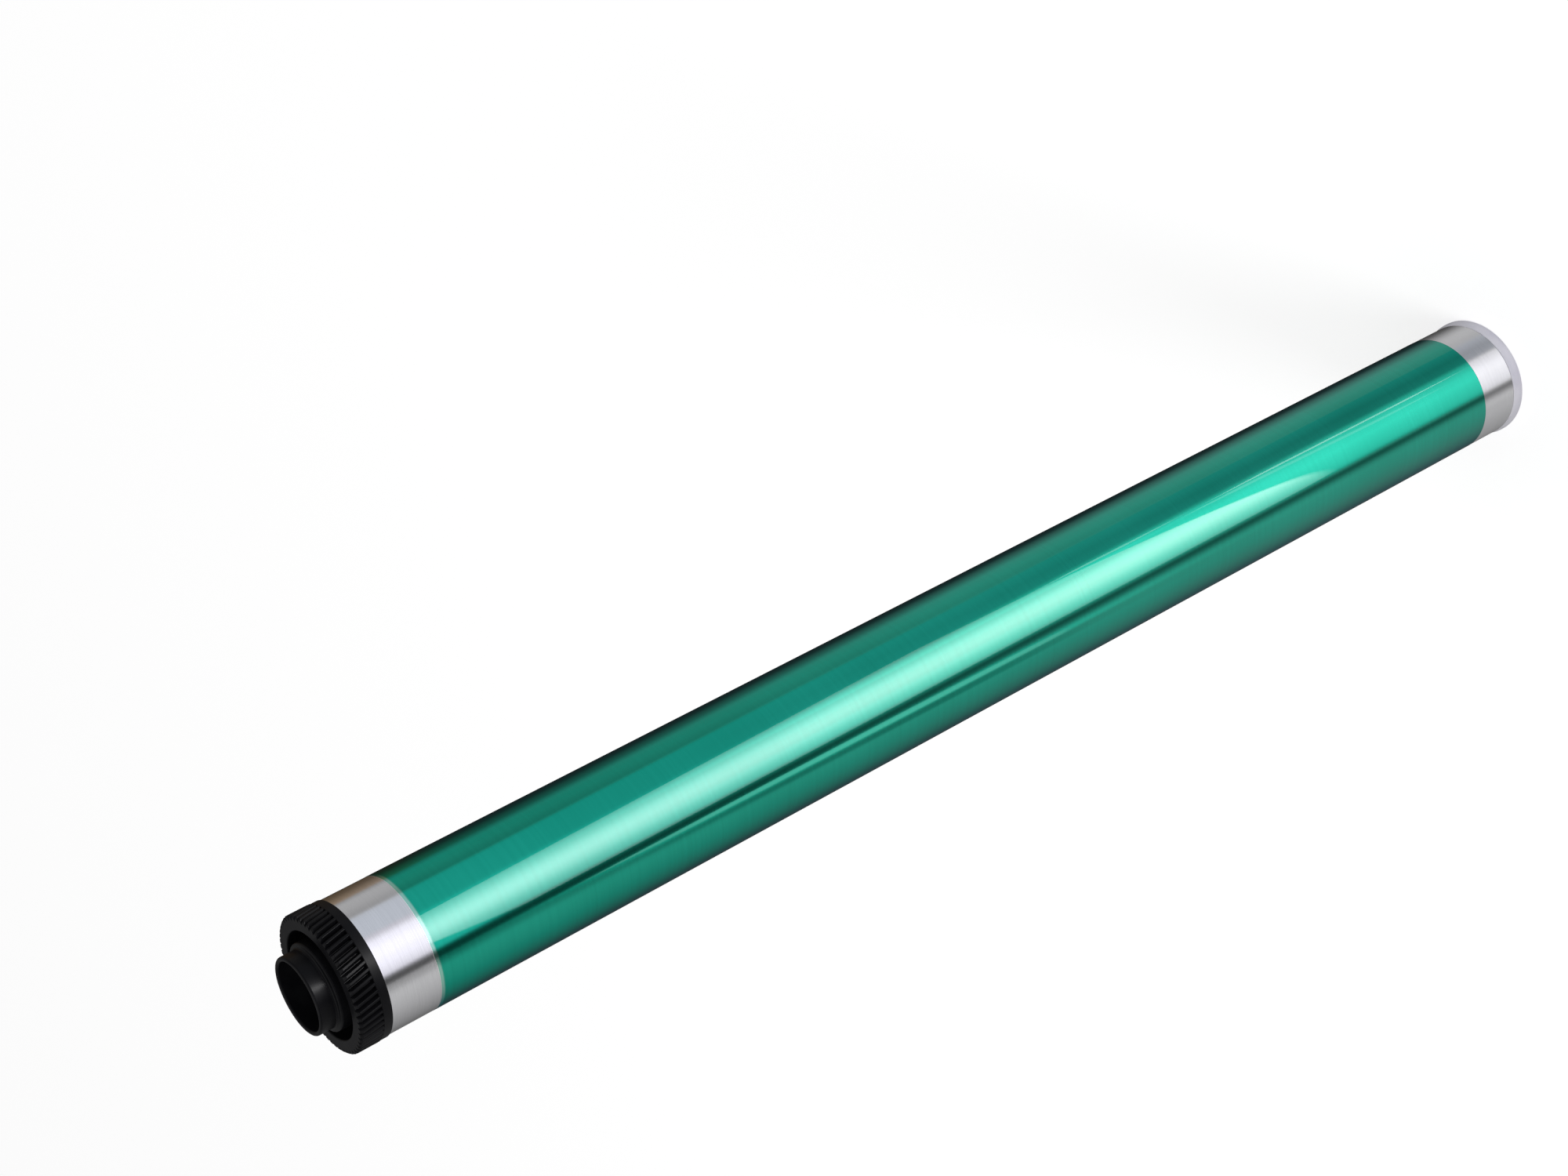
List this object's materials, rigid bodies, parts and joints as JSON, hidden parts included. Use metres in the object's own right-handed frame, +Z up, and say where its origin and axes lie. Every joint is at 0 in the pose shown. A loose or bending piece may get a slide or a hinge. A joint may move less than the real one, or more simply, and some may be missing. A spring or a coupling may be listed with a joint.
{
  "type": "photoconductor drum",
  "caption": "Photoconductor drum of an office copier: a green coated aluminium tube between a black helical gear flange with a hollow nose and a white end flange.",
  "frame": {"origin": "centre of the end flange's flat outer face, which the drum stands on", "axes": "+Z up the drum's axis to the drive gear and its nose; +X through one rib of the end flange"},
  "size_m": [0.0308, 0.0308, 0.3553],
  "materials": {
    "turned_aluminium": "fine turned, bright",
    "green_coating": "clear gloss over green",
    "black_moulding": "satin moulded",
    "white_moulding": "natural unpigmented, satin",
    "spring_steel": "rolled sheet"
  },
  "bodies": {
    "root": {"drum_tube": "turned_aluminium", "photoconductor_coating": "green_coating", "drive_gear_flange": "black_moulding", "end_flange": "white_moulding", "earth_plate": "spring_steel"}
  },
  "joints": []
}
